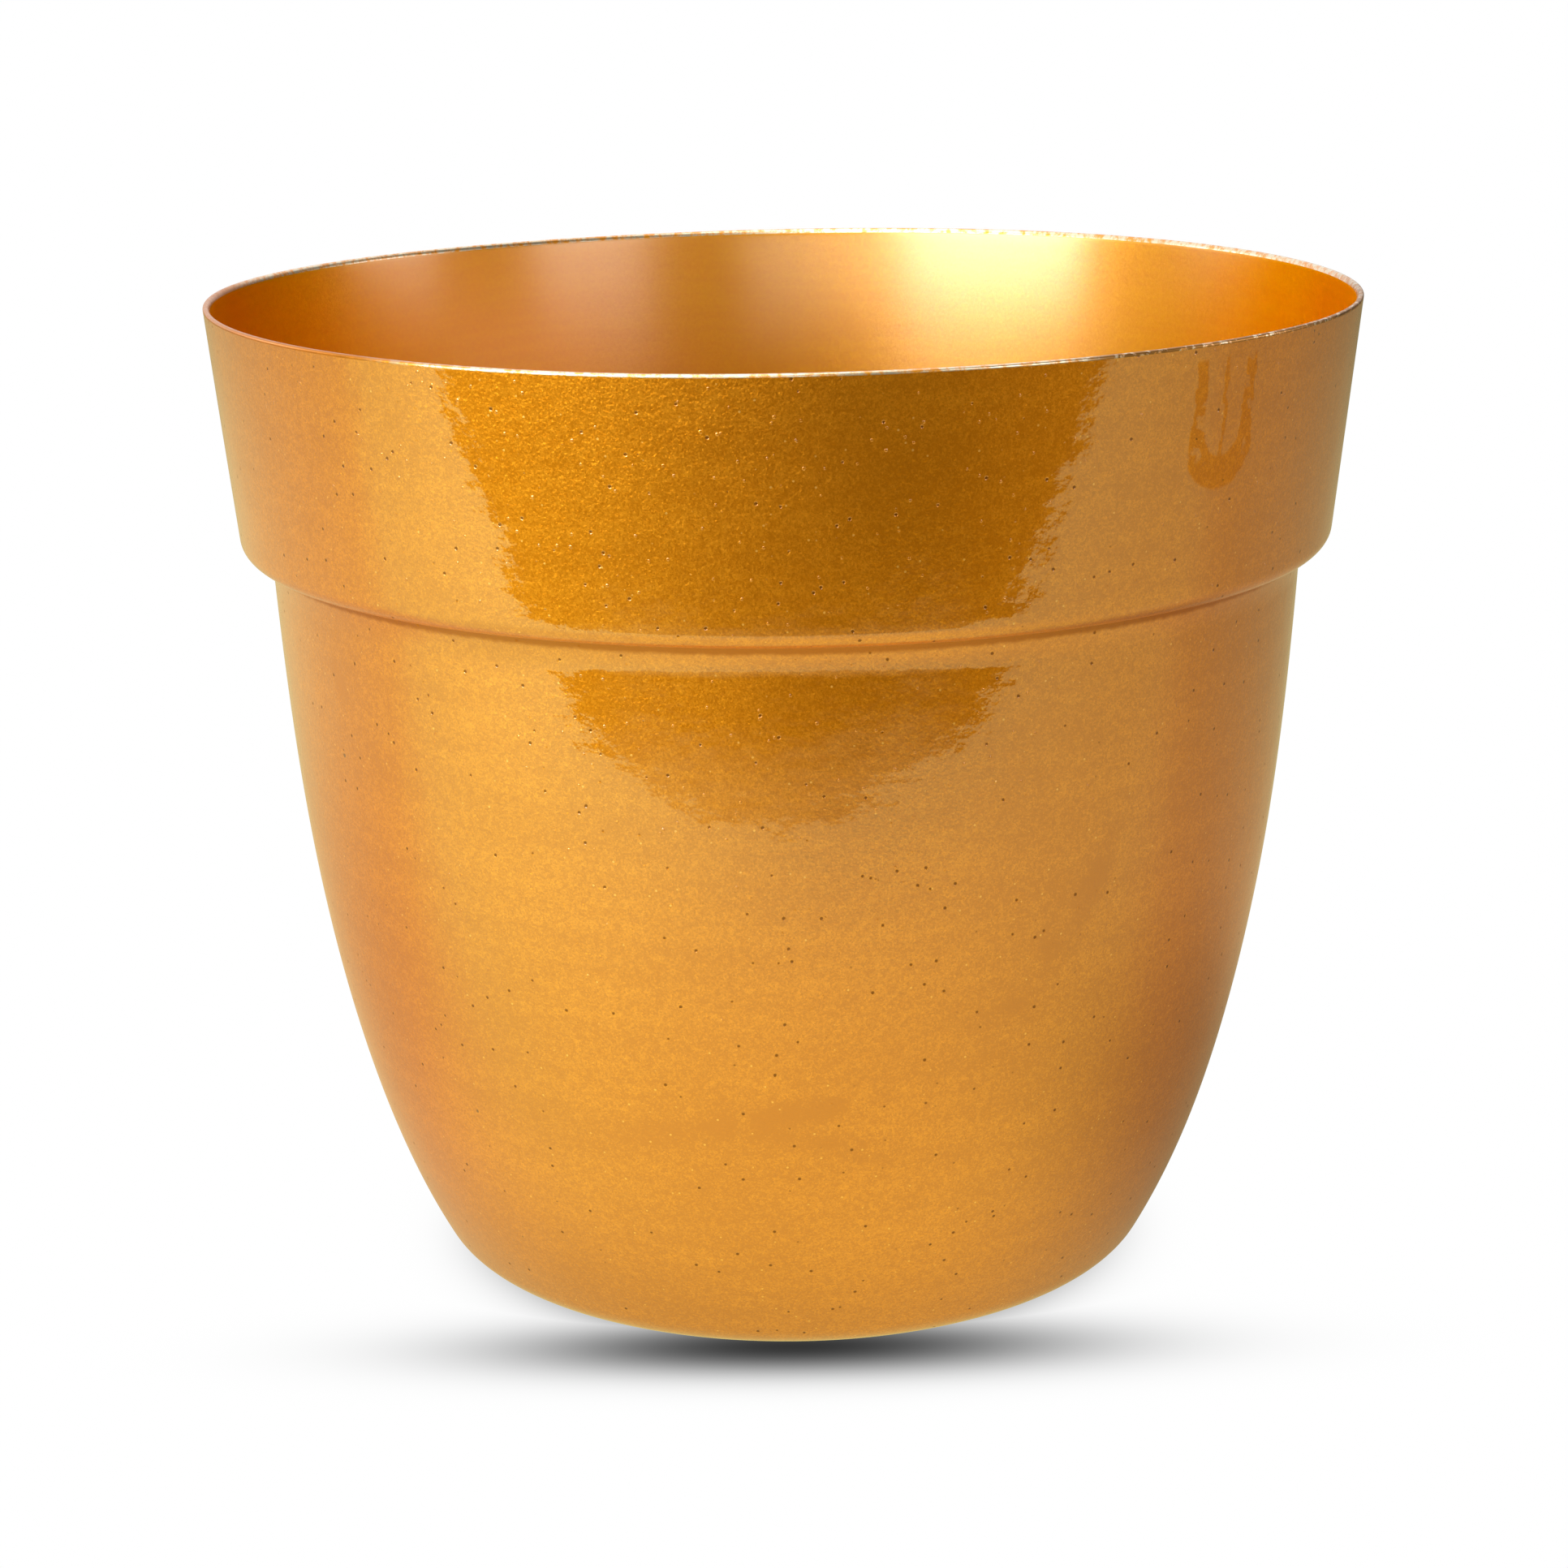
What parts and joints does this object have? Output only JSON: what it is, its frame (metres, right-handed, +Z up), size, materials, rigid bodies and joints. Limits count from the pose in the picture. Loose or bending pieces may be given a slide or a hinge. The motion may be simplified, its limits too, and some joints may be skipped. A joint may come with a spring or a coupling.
{
  "type": "planter pot",
  "caption": "Round tapered planter pot spun from sheet metal, with a straight stepped collar, a raised base with a plugged drain hole, and foot pads; holds soil or a nursery pot.",
  "frame": {"origin": "on the table, on the pot's axis, under the middle of its base", "axes": "+Z up along the pot's axis; the pot is round, so X and Y are free apart from the pads, which sit on the diagonals"},
  "size_m": [0.2, 0.2, 0.1739],
  "materials": {
    "gold_lacquered_metal": "gold flake coat under glossy clear lacquer outside, satin inside",
    "plug_rubber": "matt moulded black rubber",
    "pad_rubber": "satin moulded grey rubber"
  },
  "bodies": {
    "pot": {"pot_shell": "gold_lacquered_metal", "foot_pad_1": "pad_rubber", "foot_pad_2": "pad_rubber", "foot_pad_3": "pad_rubber", "foot_pad_4": "pad_rubber"},
    "plug": {"drain_plug": "plug_rubber"}
  },
  "joints": [
    {"name": "plug_lift", "type": "slide", "parent": "pot", "child": "plug", "axis": [0, 0, 1], "range_m": [0, 0.18]}
  ]
}
